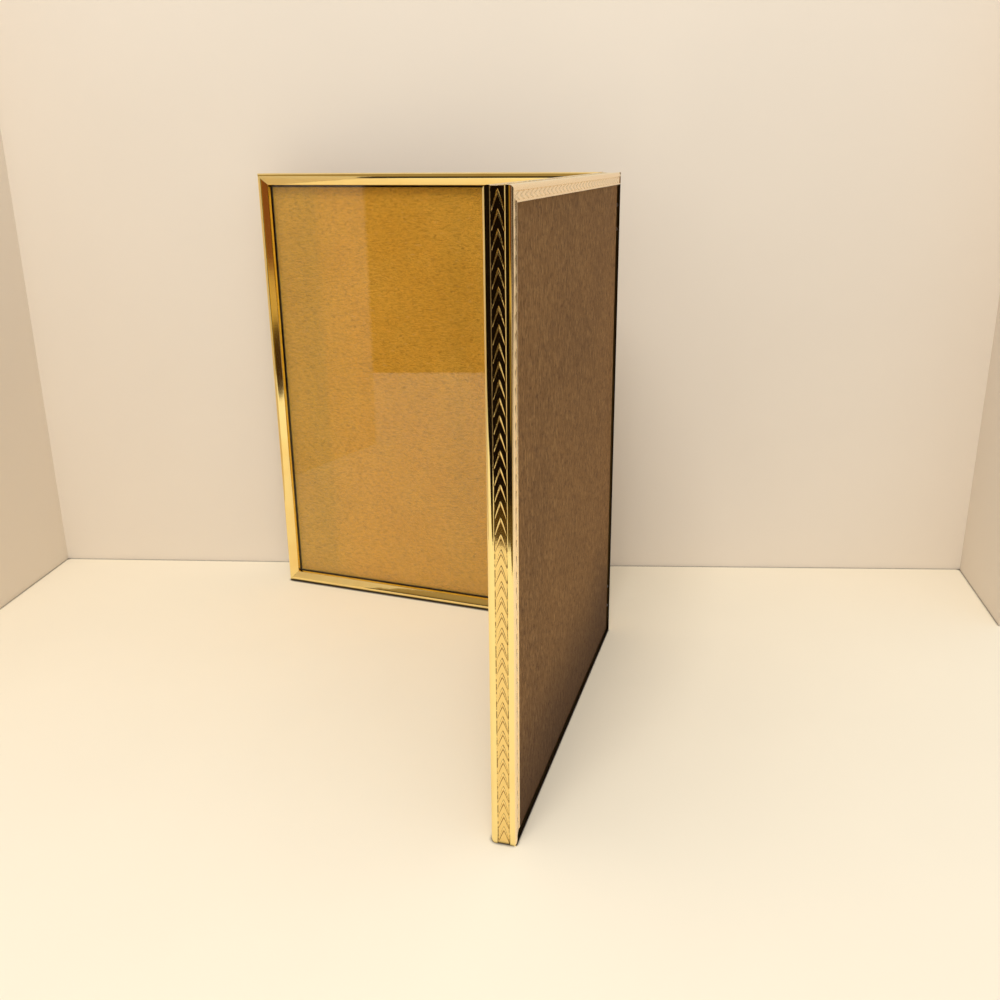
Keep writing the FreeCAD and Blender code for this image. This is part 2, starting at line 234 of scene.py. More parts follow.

# %% [markdown]
# ## The gold plate
#
# The rails are steel strip with a polished gold-coloured plate, which is a mirror with a
# colour. What makes it look real is how imperfect the mirror is: rolling leaves the faces
# slightly wavy, wiping leaves fine scratches, and old plate goes a little dull in patches.
# All three come from noise on Object coordinates, so that they stay with the metal.
#
# Four marks on the rails' points tell the material where it is: the back lips are paler
# and satin, the cut edges and inner faces of the rails without a back lip get nearly black
# painted shade for the gaps beside the back board, the floor of the pattern's band is a
# shade deeper, and a broken line of painted shade lies in both corners of the band.

# %% Polished gold plate
GOLD_LIGHT = rgb(254, 231, 160)
GOLD_DEEP = rgb(251, 219, 142)
BAND_GOLD = rgb(243, 212, 138)
BACK_LIP_GOLD = rgb(255, 230, 186)
# painted shade for the corners of the pattern's band and the grooves of the pressed leaves
GROOVE_SHADE_PAINT = rgb(86, 54, 22)
# painted shade, nearly black, for the gaps beside the back board
EDGE_SHADE_PAINT = rgb(30, 18, 12)
WAVE_HEIGHT = 0.00012       # in metres


def make_gold():
    gold = Finish("polished_gold_plate")
    # cut edges and inner faces of the rails without a back lip: painted shade of the gaps beside
    # the board
    satin = gold.mark("back_lip")
    edge_shade = gold.mark("painted_edge_shade")
    spot = gold.coordinates()
    patches = gold.noise(spot, 28.0, 3.0, 0.6)
    scratches = gold.noise(gold.coordinates((40, 40, 900)), 1.0, 2.0, 0.7)
    dull = patches.ramp(0.45, 0.8)
    waves = gold.noise(gold.coordinates((1, 1, 0.35)), 60.0, 1.0)
    height = waves + scratches * 0.02
    plate = gold.mix(dull, GOLD_LIGHT, GOLD_DEEP)
    plate = gold.mix(gold.mark("pattern_band"), plate, BAND_GOLD)
    plate = gold.mix(satin, plate, BACK_LIP_GOLD)
    # a broken line of painted shade in the two corners of the pattern's band
    shade_breaks = gold.noise(spot, 800.0, 1.0).ramp(0.35, 0.6)
    painted_groove_shade = (gold.mark("band_seam").ramp(0.3, 0.8) * (shade_breaks * 0.9)).limited()
    plate = gold.mix(painted_groove_shade, plate, GROOVE_SHADE_PAINT)
    return gold.principled(
        Base_Color=gold.mix(edge_shade, plate, EDGE_SHADE_PAINT),
        Metallic=1.0,
        Roughness=0.05 + dull * 0.04 + scratches * 0.03 + satin * 0.16 + edge_shade * 0.3,
        Normal=gold.bump(height, WAVE_HEIGHT),
    )


GOLD = make_gold()
print("material", GOLD.name)

# %% [markdown]
# ## The section of the rails
#
# Each rail is one strip of metal rolled to a section: a front lip that slopes towards the
# glass, a rounded outer edge, a side wall with a shallow band for the pattern, and on the
# top rail and the outer stile a rounded back edge and a back lip. The CAD solids have this
# section too, but their mesh is loose triangles with short facets, which a mirror shows at
# once. Here the section is drawn again with finer arcs. Points close beside each arc keep
# the flat faces flat where smooth shading meets them.

# %% Sizes of the rolled section, in millimetres
GAUGE = 0.6                         # thickness of the strip
FACE_WIDTH = 6.5                    # front lip
FACE_TILT = math.radians(30)
FACE_CROWN = 0.07                   # bulge of the front lip
LIP_DEPTH = 4.0                     # foremost line to the edge that holds the glass
FLANGE = 6.0                        # back lip
FRONT_RADIUS = 2.3
BACK_RADIUS = 1.3
LIP_RADIUS = 0.8
HEM_RADIUS = 0.45
SIDE_BAND = (3.0, DEPTH - 2.5)      # the pattern's band on the side, from the front
FLANGE_BAND = (2.0, FLANGE - 0.7)   # and on the back lip, from the outside
BAND_RECESS = 0.3
BAND_SHOULDER = 0.45                # slope at the back of the side's band
SEAM = 0.4                          # width of the corner of that band that gets painted shade
BESIDE = 0.12                       # distance of the extra points from the end of a run
MITRE_GAP = 0.1                     # between two rails at a corner
LIP_MARK = 0.5                      # points this near to the back belong to the back lip
TOUCH = 0.01                        # less than this apart is the same place
FOLD_ANGLE = math.radians(28)
print("strip", GAUGE, "mm thick, lips", FACE_WIDTH, "and", FLANGE, "mm wide")


# %% Lines and arcs of the section
def arc(centre, radius, start, end, steps):
    """Points on an arc, as (inward, back), for angles in degrees."""
    angles = [math.radians(start + (end - start) * i / steps) for i in range(steps + 1)]
    u, v = centre
    return [(u + radius * math.cos(a), v + radius * math.sin(a)) for a in angles]


def face_line(inward):
    """How far back the sloping lip lies at a place across it."""
    sharp = FRONT_RADIUS * ((math.sin(FACE_TILT) + 1) / math.cos(FACE_TILT) - 1)
    return math.tan(FACE_TILT) * inward - sharp


def crowned(start, end, rise, steps=10):
    """The points between two ends of a run that bulges a little, as rolled strip does."""
    (u0, v0), (u1, v1) = start, end
    du, dv = u1 - u0, v1 - v0
    length = math.dist(start, end)
    out_u, out_v = -dv / length, du / length
    points = []
    for i in range(1, steps):
        share = i / steps
        lift = rise * 4 * share * (1 - share)
        points.append((u0 + du * share + out_u * lift, v0 + dv * share + out_v * lift))
    return points


def eased(points):
    """Adds a point close beside each end of every long straight run."""
    result = []
    for i, a in enumerate(points):
        b = points[(i + 1) % len(points)]
        length = math.dist(a, b)
        result.append(a)
        if length > 4 * BESIDE:
            for share in (BESIDE / length, 1 - BESIDE / length):
                result.append(tuple(p + (q - p) * share for p, q in zip(a, b)))
    return result


print("a quarter turn in 3 steps", [round(v, 2) for v in arc((0, 0), 1, 0, 90, 3)[1]])


# %% The whole outline
def rail_section(flanged):
    """The closed outline of the rolled strip, from the glass edge of the lip and round."""
    tilt = math.degrees(FACE_TILT)
    lip_u = FACE_WIDTH - LIP_RADIUS
    lip_centre = (lip_u, face_line(lip_u) + LIP_RADIUS / math.cos(FACE_TILT))
    front_centre = (FRONT_RADIUS, FRONT_RADIUS)
    first, last = SIDE_BAND
    outline = [(FACE_WIDTH, LIP_DEPTH)]
    outline += arc(lip_centre, LIP_RADIUS, 0, tilt - 90, 5)
    rounding = arc(front_centre, FRONT_RADIUS, tilt - 90, -180, 14)
    outline += crowned(outline[-1], rounding[0], FACE_CROWN) + rounding
    outline += [
        (0, first), (BAND_RECESS, first + BAND_RECESS),
        (BAND_RECESS, first + BAND_RECESS + SEAM), (BAND_RECESS, last - BAND_SHOULDER - SEAM),
        (BAND_RECESS, last - BAND_SHOULDER), (0, last),
    ]
    if flanged:
        near, far = FLANGE_BAND
        back_centre = (BACK_RADIUS, DEPTH - BACK_RADIUS)
        hem_centre = (FLANGE - HEM_RADIUS, DEPTH - HEM_RADIUS)
        outline += arc(back_centre, BACK_RADIUS, 180, 90, 9)
        outline += [
            (near, DEPTH), (near + BAND_RECESS, DEPTH - BAND_RECESS),
            (far - BAND_RECESS, DEPTH - BAND_RECESS), (far, DEPTH),
        ]
        outline += arc(hem_centre, HEM_RADIUS, 90, 0, 4)
        outline += [(FLANGE, DEPTH - GAUGE)]
        outline += arc(back_centre, BACK_RADIUS - GAUGE, 90, 180, 5)
    else:
        outline += [(0, DEPTH), (GAUGE, DEPTH)]
    outline += arc(front_centre, FRONT_RADIUS - GAUGE, 180, 270 + tilt, 7)
    outline += arc(lip_centre, LIP_RADIUS - GAUGE, tilt - 90, 0, 2)
    outline += [(FACE_WIDTH - GAUGE, LIP_DEPTH)]
    return eased(outline)


for flanged in (True, False):
    print("section with" if flanged else "section without", "a back lip:",
          len(rail_section(flanged)), "points")

# %% [markdown]
# ## The rails
#
# A rail is the section swept along one side of the leaf, from mitre to mitre. Each point
# of the section has its own start and end, because the mitre cuts it at a slant. The marks
# that the gold reads are set point by point on the section and repeat on every ring of it.

# %% The four rails and their places
RAILS = {
    # rail: (runs upright, place of its wall, direction inwards, has a back lip)
    "outer_stile": (True, FREE_SIDE, -1, True),
    "top_rail": (False, LEAF_HEIGHT, -1, True),
    "bottom_rail": (False, 0.0, 1, False),
    "hinge_stile": (True, HINGE_SIDE, 1, False),
}
RAIL_RINGS = 12                         # steps along a rail
MITRE_SHIFT = MITRE_GAP / math.sqrt(2)
SQUARE_END = GAUGE + 0.1                # the top back lip ends square at the hinge stile


def rail_point(rail, u, v, along):
    """A point of a rail: u inwards from its wall, v back from the front, and along it."""
    upright, wall, inward, _ = RAILS[rail]
    across = wall + u * inward
    return (across, FRONT + v, along) if upright else (along, FRONT + v, across)


def rail_ends(rail):
    return (0.0, LEAF_HEIGHT) if RAILS[rail][0] else (HINGE_SIDE, FREE_SIDE)


for rail in RAILS:
    print(rail, "runs from", *(round(end, 1) for end in rail_ends(rail)), "mm")


# %% Marks on the points of a rail
def in_edge_shade(u, v):
    """True on the cut back edge of a wall and on its inner face, which get painted shade for the
    gaps beside the back board.
    """
    return v > DEPTH - TOUCH or (v > DEPTH / 2 and u > GAUGE - TOUCH)


def is_band(u, v):
    """True on the floor of the recess that the pattern lies in."""
    return abs(u - BAND_RECESS) < TOUCH and SIDE_BAND[0] < v < SIDE_BAND[1]


def is_seam(u, v):
    """True in the two corners of that recess, which get a line of painted shade."""
    corners = SIDE_BAND[0] + BAND_RECESS, SIDE_BAND[1] - BAND_SHOULDER
    return is_band(u, v) and min(abs(v - corner) for corner in corners) < TOUCH


def rail_marks(section, flanged):
    """What the gold reads at each point of the section, by the name of the mark."""
    return {
        "back_lip": [float(flanged and v > DEPTH - LIP_MARK) for _, v in section],
        "painted_edge_shade": [float(not flanged and in_edge_shade(u, v)) for u, v in section],
        "pattern_band": [float(is_band(u, v)) for u, v in section],
        "band_seam": [float(is_seam(u, v)) for u, v in section],
    }


for name, values in rail_marks(rail_section(True), True).items():
    print(name, "marks", int(sum(values)), "of", len(values), "points")


# %% Pieces and their sharp edges
def new_object(name, mesh, material):
    piece = bpy.data.objects.new(name, mesh)
    bpy.context.scene.collection.objects.link(piece)
    mesh.materials.clear()
    mesh.materials.append(material)
    return piece


def settle(bm):
    """Closed shells face outwards; edges that turn more than a fold are sharp."""
    bmesh.ops.recalc_face_normals(bm, faces=bm.faces)
    for face in bm.faces:
        face.smooth = True
    for edge in bm.edges:
        edge.smooth = edge.calc_face_angle(0.0) < FOLD_ANGLE


print("edges that turn more than", round(math.degrees(FOLD_ANGLE)), "degrees stay sharp")


# %% Sweep the section between two mitres
def run_of(rail, u, v):
    """Where a point of the section starts and ends along its rail."""
    low, high = rail_ends(rail)
    start, end = low + u + MITRE_SHIFT, high - u - MITRE_SHIFT
    if rail == "top_rail" and u > GAUGE and v > DEPTH - GAUGE - TOUCH:
        start = low + SQUARE_END
    return start, end


def sweep(bm, side, rail, section):
    """Rings of the section from one mitre to the other, the skin between them and two caps."""
    rings = []
    for i in range(RAIL_RINGS + 1):
        ring = []
        for u, v in section:
            start, end = run_of(rail, u, v)
            along = start + (end - start) * i / RAIL_RINGS
            ring.append(bm.verts.new(place(side, *rail_point(rail, u, v, along))))
        rings.append(ring)
    count = len(section)
    for lower, upper in zip(rings, rings[1:]):
        for j in range(count):
            k = (j + 1) % count
            bm.faces.new((lower[j], lower[k], upper[k], upper[j]))
    bm.faces.new(rings[0])
    bm.faces.new(rings[-1])
    bmesh.ops.triangulate(bm, faces=[f for f in bm.faces if len(f.verts) > 4])


print("the outer stile's wall runs from", [round(v, 2) for v in run_of("outer_stile", 0, 0)])


# %% The eight rails
def make_rail(side_name, rail):
    flanged = RAILS[rail][3]
    section = rail_section(flanged)
    bm = bmesh.new()
    sweep(bm, SIDES[side_name], rail, section)
    settle(bm)
    mesh = bpy.data.meshes.new(f"{side_name}_{rail}_metal")
    bm.to_mesh(mesh)
    bm.free()
    for name, values in rail_marks(section, flanged).items():
        mark = mesh.attributes.new(name, "FLOAT", "POINT")
        mark.data.foreach_set("value", values * (RAIL_RINGS + 1))
    piece = new_object(mesh.name, mesh, GOLD)
    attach(piece, f"{side_name}_leaf")
    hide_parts(f"{side_name}_{rail}")
    return piece


rail_pieces = [make_rail(side_name, rail) for side_name in SIDES for rail in RAILS]
print("rails", len(rail_pieces), "with", sum(len(p.data.polygons) for p in rail_pieces), "faces")

# %% [markdown]
# ## The gold of the pressed pattern
#
# The bands carry a row of long leaves in pairs, like an ear of wheat, pressed into the
# metal every quarter of an inch. Painted shade lies in the grooves on both sides of each
# leaf, so that it looks drawn with two dark lines. Its points carry their place across the
# leaf, as a mark named leaf_slope, and this gold reads it.

# %% Gold of the pattern, with painted shade in its grooves
INNER_GOLD = rgb(240, 204, 128)
GRAIN_HEIGHT = 0.00006      # in metres


def make_pattern_gold():
    gold = Finish("pressed_gold_pattern")
    slope = gold.mark("leaf_slope")         # -1 at the inner edge, 0 on the ridge, 1 outside
    satin = gold.mark("back_lip")
    grain = gold.noise(gold.coordinates(), 900.0, 3.0, 0.6)
    inner = 1 - slope.ramp(-0.3, -0.1)
    # painted shade in the grooves on both sides of each leaf, less on the back lips
    groove = (1 - slope.ramp(-0.95, -0.4)) + slope.ramp(0.28, 0.66)
    painted_groove_shade = (groove * (0.75 + grain) * (1 - satin * 0.4)).limited()
    plate = gold.mix(inner, GOLD_LIGHT, INNER_GOLD)
    plate = gold.mix(satin, plate, BACK_LIP_GOLD)
    return gold.principled(
        Base_Color=gold.mix(painted_groove_shade, plate, GROOVE_SHADE_PAINT),
        Metallic=1 - inner * 0.07,
        Roughness=0.1 + inner * 0.1 + painted_groove_shade * 0.1,
        Normal=gold.bump(grain, GRAIN_HEIGHT),
    )


PATTERN_GOLD = make_pattern_gold()
print("material", PATTERN_GOLD.name)

# %% [markdown]
# ## The pressed leaves
#
# One pair of leaves repeats several hundred times, so it is the work of Geometry Nodes:
# guide lines along the bands are resampled at the pitch, and a pair stands on each point,
# turned to the band. A leaf starts as a small block. Its length runs from the rib to the
# edge of the band, and across it one line of points is lifted to a ridge: the narrow side
# beyond the ridge is steep and catches the light as a bright hair, and the wide side
# slopes gently back into the metal.

# %% A tree that makes shapes
class Growth(Tree):
    """A Geometry Nodes tree with named sizes."""

    def __init__(self, name):
        self.group = bpy.data.node_groups.new(name, "GeometryNodeTree")
        super().__init__(self.group)
        self.values = {}
        for way in ("INPUT", "OUTPUT"):
            self.socket("Geometry", way, "NodeSocketGeometry")
        self.source = self.nodes.new("NodeGroupInput")

    def socket(self, name, way, kind):
        return self.group.interface.new_socket(name, in_out=way, socket_type=kind)

    def given(self, name):
        return Term(self, self.source.outputs[name])

    def size(self, name, value):
        """A named input of the tree, and the value that it is given."""
        self.values[self.socket(name, "INPUT", "NodeSocketFloat").identifier] = value
        return self.given(name)

    def joined(self, first, second):
        pair = self.node("GeometryNodeJoinGeometry", {}, {0: first})
        self.links.new(second.socket, pair.socket.node.inputs[0])
        return pair

    def finish(self, geometry):
        output = self.nodes.new("NodeGroupOutput")
        self.links.new(geometry.socket, output.inputs[0])


print("each size becomes a named input of the tree")


# %% One leaf, bent from a block
BLOCK = {"Size": (1, 1, 1), "Vertices X": 6, "Vertices Y": 3, "Vertices Z": 2}
TAPER = 0.72            # how much narrower the tip is than the leaf at the rib
BEND = 0.85             # under 1, the leaf leaves the rib at once and then runs along it
RIDGE_RISE = 1.1        # height of the ridge over the sides, in leaf heights
EDGE_RISE = 0.25        # height of the sides over the underside
SUNK = 0.35             # how far the whole leaf is let into the band


def grow_arm(growth, hand, sizes):
    """One leaf of a pair: a long ridge from the rib to the edge of the band, steep outside."""
    block = growth.node("GeometryNodeMeshCube", {}, BLOCK)
    x, y, z = growth.parts(growth.node("GeometryNodeInputPosition"))
    share = x + 0.5                                 # 0 at the rib, 1 at the tip
    beside = y * 2.0                                # -1 inside, 1 outside
    crown = 1.0 - beside.math("ABSOLUTE")           # 1 on the ridge, 0 beside it
    top = z.math("GREATER_THAN", 0.0)

    thin = 1.0 - share ** 2.0 * TAPER
    offset = (beside + crown * sizes["ridge"]) * thin * sizes["half_width"]
    across = share ** BEND * sizes["spread"] + sizes["start"]
    along = offset - share * sizes["length"]
    up = ((crown * RIDGE_RISE + EDGE_RISE) * top - SUNK) * sizes["height"]
    moved = growth.node("ShaderNodeCombineXYZ", {}, {0: across * hand, 1: along, 2: up})

    marked = growth.node(
        "GeometryNodeStoreNamedAttribute", {"data_type": "FLOAT", "domain": "POINT"},
        {"Geometry": block, "Name": "leaf_slope", "Value": beside},
    )
    arm = growth.node("GeometryNodeSetPosition", {}, {"Geometry": marked, "Position": moved})
    return growth.node("GeometryNodeFlipFaces", {}, {"Mesh": arm}) if hand < 0 else arm


print("a leaf starts as", BLOCK["Vertices X"], "by", BLOCK["Vertices Y"], "points")

# %% Pairs of leaves along guide lines
PITCH = 6.35


def make_leaf_pattern():
    growth = Growth("pressed_leaves")
    pitch = growth.size("Pitch", PITCH * MM)
    sizes = {
        "length": growth.size("Leaf length", 6.0 * MM),
        "spread": growth.size("Leaf spread", 2.15 * MM),
        "start": growth.size("Distance from the rib", 0.05 * MM),
        "half_width": growth.size("Leaf half width", 1.45 * MM),
        "height": growth.size("Leaf height", 0.18 * MM),
        "ridge": growth.size("Shift of the ridge", 0.6),
    }
    pair = growth.joined(grow_arm(growth, 1, sizes), grow_arm(growth, -1, sizes))

    def named(name):
        kind = {"data_type": "FLOAT_VECTOR"}
        return growth.node("GeometryNodeInputNamedAttribute", kind, {"Name": name})

    line = growth.node("GeometryNodeMeshToCurve", {}, {"Mesh": growth.given("Geometry")})
    points = growth.node(
        "GeometryNodeResampleCurve", {"mode": "LENGTH"}, {"Curve": line, "Length": pitch}
    )
    turn = growth.node(
        "FunctionNodeAxesToRotation", {"primary_axis": "Z", "secondary_axis": "Y"},
        {"Primary Axis": named("facing"), "Secondary Axis": named("heading")},
    )
    placed = growth.node("GeometryNodeInstanceOnPoints", {}, {
        "Points": points, "Instance": pair, "Rotation": turn, "Scale": named("proportion"),
    })
    real = growth.node("GeometryNodeRealizeInstances", {}, {"Geometry": placed})
    flat = growth.node(
        "GeometryNodeSetShadeSmooth", {}, {"Geometry": real, "Shade Smooth": False}
    )
    growth.finish(growth.node(
        "GeometryNodeSetMaterial", {}, {"Geometry": flat, "Material": PATTERN_GOLD}
    ))
    return growth


PATTERN = make_leaf_pattern()
print("leaf pattern inputs", len(PATTERN.values))

# %% [markdown]
# ## Guide lines and the grown pattern
#
# A guide is one straight edge down the middle of each band. Its points carry which way the
# band faces, which way the row runs and how large the leaves are, since those on the back
# lips are smaller. The grown leaves are kept as a plain mesh, one for each side.

# %% Guide lines along the bands
HANG = 2.45             # the leaves hang back from their point by this much on the whole
END_MARGIN = 1.2        # plain metal at each end of a band
LAST_LEAF = 4.0         # what the last pair takes beyond its point
SIDE_MIDDLE = sum(SIDE_BAND) / 2
FLANGE_MIDDLE = sum(FLANGE_BAND) / 2
SIDE_PROPORTION = (1.0, 1.0, 1.0)       # of the leaves: across, along and up
FLANGE_PROPORTION = (0.66, 0.78, 0.6)


def band_lines(rail):
    """Start, end, facing and proportions of each band of a rail, in the leaf's coordinates."""
    upright, _, inward, flanged = RAILS[rail]
    low, high = rail_ends(rail)
    bands = [(BAND_RECESS, SIDE_MIDDLE, SIDE_PROPORTION)]
    if flanged:
        bands.append((FLANGE_MIDDLE, DEPTH - BAND_RECESS, FLANGE_PROPORTION))
    for u, v, proportion in bands:
        on_side = proportion is SIDE_PROPORTION
        margin = END_MARGIN + (0 if on_side else u)
        count = int((high - low - 2 * margin - LAST_LEAF) / PITCH)
        slack = (high - low - count * PITCH) / 2 + HANG
        start = rail_point(rail, u, v, low + slack)
        end = rail_point(rail, u, v, low + slack + count * PITCH)
        outward = (-inward, 0, 0) if upright else (0, 0, -inward)
        facing = outward if on_side else (0, 1, 0)
        yield start, end, facing, proportion


for rail in RAILS:
    print(rail, "bands with the pattern:", len(list(band_lines(rail))))


# %% The pattern grown on the guide lines
def make_guides(side_name):
    """A mesh with one edge along each band; its points carry how the leaves lie."""
    side = SIDES[side_name]
    turned = leaf_matrix(side).to_3x3().normalized()
    mesh = bpy.data.meshes.new(f"{side_name}_leaf_pattern")
    points, edges, rows = [], [], {"facing": [], "heading": [], "proportion": []}
    for rail in RAILS:
        for start, end, facing, proportion in band_lines(rail):
            ends = [place(side, *start), place(side, *end)]
            edges.append((len(points), len(points) + 1))
            points += ends
            rows["facing"] += [turned @ Vector((facing[0] * side, *facing[1:]))] * 2
            rows["heading"] += [(ends[1] - ends[0]).normalized()] * 2
            rows["proportion"] += [Vector(proportion)] * 2
    mesh.from_pydata(points, edges, [])
    lip = mesh.attributes.new("back_lip", "FLOAT", "POINT")
    lip.data.foreach_set("value", [float(p.x != 1) for p in rows["proportion"]])
    for name, vectors in rows.items():
        attribute = mesh.attributes.new(name, "FLOAT_VECTOR", "POINT")
        attribute.data.foreach_set("vector", [v for vector in vectors for v in vector])
    return new_object(f"{side_name}_guide", mesh, PATTERN_GOLD)


def make_pattern(side_name):
    guide = make_guides(side_name)
    modifier = guide.modifiers.new("pressed leaves", "NODES")
    modifier.node_group = PATTERN.group
    for identifier, value in PATTERN.values.items():
        modifier[identifier] = value
    evaluated = guide.evaluated_get(bpy.context.evaluated_depsgraph_get())
    grown = bpy.data.meshes.new_from_object(evaluated)
    bpy.data.objects.remove(guide)
    grown.name = f"{side_name}_pressed_leaves"
    piece = new_object(grown.name, grown, PATTERN_GOLD)
    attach(piece, f"{side_name}_leaf")
    return piece


pattern_pieces = [make_pattern(side_name) for side_name in SIDES]
print("pressed leaves", [len(p.data.polygons) for p in pattern_pieces], "faces")

# %% [markdown]
# ## Clear glass
#
# The glass is a flat sheet in front of a plain tan card. A Principled glass would throw the
# card into shadow, because light reaches it only by chance through a refracting sheet. A
# thin pane is better as a clear shader with a mirror on top, mixed by the slant of the
# view: it reflects little from straight on and more at a slant, and the same on both faces.

# %% Glass: clear from in front, a mirror at a slant
STRAIGHT_GLOSS = 0.04       # share of light that glass mirrors when seen from straight on


def make_glass():
    pane = Finish("clear_glass_pane")
    slant = pane.node("ShaderNodeLayerWeight", {}, {"Blend": 0.5}, output="Facing")
    gloss = STRAIGHT_GLOSS + (slant ** 5) * (1 - STRAIGHT_GLOSS)
    clear = pane.node("ShaderNodeBsdfTransparent", {}, {"Color": (0.985, 0.99, 0.98, 1)})
    mirror = pane.node("ShaderNodeBsdfGlossy", {}, {"Color": (1, 1, 1, 1), "Roughness": 0.01})
    return pane.finish(pane.node("ShaderNodeMixShader", {}, {0: gloss, 1: clear, 2: mirror}))


GLASS = make_glass()
print("material", GLASS.name)

# %% [markdown]
# ## The tan card
#
# The card is kraft paper with fibres that lie level. Painted shade darkens it by the rails,
# so it has to know where it is on the leaf: its Object coordinates are turned back about
# the hinge axis. The distance to the nearest edge of the leaf then says where it is shaded.

# %% Where a place on the card lies on its leaf
def leaf_place(finish, side):
    """Object coordinates as millimetres along the leaf and up it."""
    turn = Matrix.Rotation(TURN * side, 3, "Z")
    spot = finish.node("ShaderNodeMapping", {}, {
        "Vector": finish.node("ShaderNodeTexCoord", output="Object"),
        "Location": -(turn @ HINGE_AXIS) / MM,
        "Rotation": (0, 0, TURN * side),
        "Scale": (1 / MM,) * 3,
    })
    along, _, up = finish.parts(spot)
    return along * side, up


print("coordinates are turned back by", round(math.degrees(TURN), 1), "degrees")

# %% Tan card, with painted shade by the rails
TOP_SHADE = 0.9         # the top rail stands off the glass and shades this much more of the card
SHADE_BLUR = 0.7        # width of the edge of that shade
KRAFT_LIGHT = rgb(246, 199, 79)
KRAFT_DEEP = rgb(240, 190, 67)
FIBRE_DARK = rgb(190, 141, 48)
FIBRE_PALE = rgb(244, 206, 120)
SPECK = rgb(120, 80, 36)
# painted shade where the rails hide and shade the card
RAIL_SHADE_PAINT = rgb(24, 12, 6)
FIBRE_HEIGHT = 0.00006      # in metres


def make_card(side_name):
    card = Finish(f"tan_kraft_card_{side_name}")
    along, up = leaf_place(card, SIDES[side_name])
    inside = (along - HINGE_SIDE).least(FREE_SIDE - along)
    inside = inside.least(up).least(LEAF_HEIGHT - TOP_SHADE - up)
    # painted shade along the rails, wider under the top rail
    rail_shade = 1 - inside.ramp(FACE_WIDTH, FACE_WIDTH + SHADE_BLUR)
    fibres = card.noise(card.coordinates((330, 330, 1200)), 1.0, 4.0, 0.65)
    pale = card.noise(card.coordinates((240, 240, 900)), 1.0, 3.0, 0.6, 0.4).ramp(0.6, 0.72)
    blotches = card.noise(card.coordinates(), 22.0, 4.0, 0.6)
    specks = card.noise(card.coordinates((500, 500, 900)), 1.0, 1.0).ramp(0.66, 0.74)
    tone = card.mix(blotches.ramp(0.3, 0.75), KRAFT_LIGHT, KRAFT_DEEP)
    tone = card.mix(fibres.ramp(0.42, 0.72) * 0.6, tone, FIBRE_DARK)
    tone = card.mix(pale * 0.4, tone, FIBRE_PALE)
    tone = card.mix(specks * 0.35, tone, SPECK)
    tone = card.mix(rail_shade, tone, RAIL_SHADE_PAINT)
    return card.principled(
        Base_Color=tone,
        Roughness=0.8 + fibres * 0.15,
        Normal=card.bump(fibres, FIBRE_HEIGHT),
    )


CARDS = {side_name: make_card(side_name) for side_name in SIDES}
print("materials", [card.name for card in CARDS.values()])

# %% [markdown]
# ## The back board and the pad
#
# The back board is pressed brown fibre board: fine upright streaks, a coarse dark grain and
# soft clouds, and it is darker towards its foot. The pad behind the card is grey fluted
# board, of which only the edges can ever be seen.

# %% Brown back board and grey pad
BOARD_LIGHT = rgb(128, 91, 48)
BOARD_DEEP = rgb(112, 78, 40)
BOARD_STREAK = rgb(160, 122, 74)
BOARD_SPECK = rgb(72, 44, 26)
BOARD_FOOT = rgb(58, 34, 14)
PAD_LIGHT = rgb(96, 84, 66)
PAD_DEEP = rgb(70, 60, 46)
FOOT_HEIGHT = 0.075         # in metres, how far up the board its dark foot reaches
BOARD_RELIEF = 0.00005      # in metres


def make_board():
    board = Finish("brown_fibre_board")
    streaks = board.noise(board.coordinates((800, 800, 200)), 1.0, 4.0, 0.8)
    grain = board.noise(board.coordinates((1, 1, 0.6)), 650.0, 4.0, 0.8)
    clouds = board.noise(board.coordinates(), 14.0, 3.0, 0.6)
    _, _, height = board.parts(board.coordinates())
    foot = 1 - height.ramp(0.0, FOOT_HEIGHT)
    tone = board.mix(clouds.ramp(0.3, 0.75), BOARD_LIGHT, BOARD_DEEP)
    tone = board.mix(streaks.ramp(0.46, 0.62) * 0.75, tone, BOARD_STREAK)
    tone = board.mix(grain.ramp(0.5, 0.64) * 0.75, tone, BOARD_SPECK)
    tone = board.mix(foot * 0.75, tone, BOARD_FOOT)
    return board.principled(
        Base_Color=tone,
        Roughness=0.66 + grain * 0.2,
        Specular_IOR_Level=0.2,
        Normal=board.bump(grain + streaks, BOARD_RELIEF),
    )


def make_pad():
    pad = Finish("grey_filler_pad")
    flutes = pad.noise(pad.coordinates((900, 900, 40)), 1.0, 2.0)
    return pad.principled(Base_Color=pad.mix(flutes, PAD_LIGHT, PAD_DEEP), Roughness=0.9)


BOARD = make_board()
PAD = make_pad()
print("materials", BOARD.name, "and", PAD.name)

# %% [markdown]
# ## Brass hinges and steel corner angles
#
# The small metal pieces share one recipe with two colours: rolled metal, with lines as fine
# as hairs along the rolling direction and a few dull clouds.

# %% Plain rolled metals
LINE_HEIGHT = 0.000003      # in metres


def make_plain_metal(name, colour, dark, roughness):
    metal = Finish(name)
    lines = metal.noise(metal.coordinates((250, 250, 9000)), 1.0, 3.0, 0.7)
    clouds = metal.noise(metal.coordinates(), 90.0, 3.0, 0.6)
    worn = (clouds.ramp(0.35, 0.8) * 0.7 + lines * 0.3).limited()
    return metal.principled(
        Base_Color=metal.mix(worn, colour, dark),
        Metallic=1.0,
        Roughness=roughness + clouds * 0.12,
        Normal=metal.bump(lines, LINE_HEIGHT),
    )


HINGE_BRASS = make_plain_metal("hinge_brass", rgb(226, 188, 116), rgb(196, 156, 88), 0.22)
BRACKET_STEEL = make_plain_metal("bracket_steel", rgb(176, 178, 180), rgb(120, 122, 126), 0.3)
print("materials", HINGE_BRASS.name, "and", BRACKET_STEEL.name)

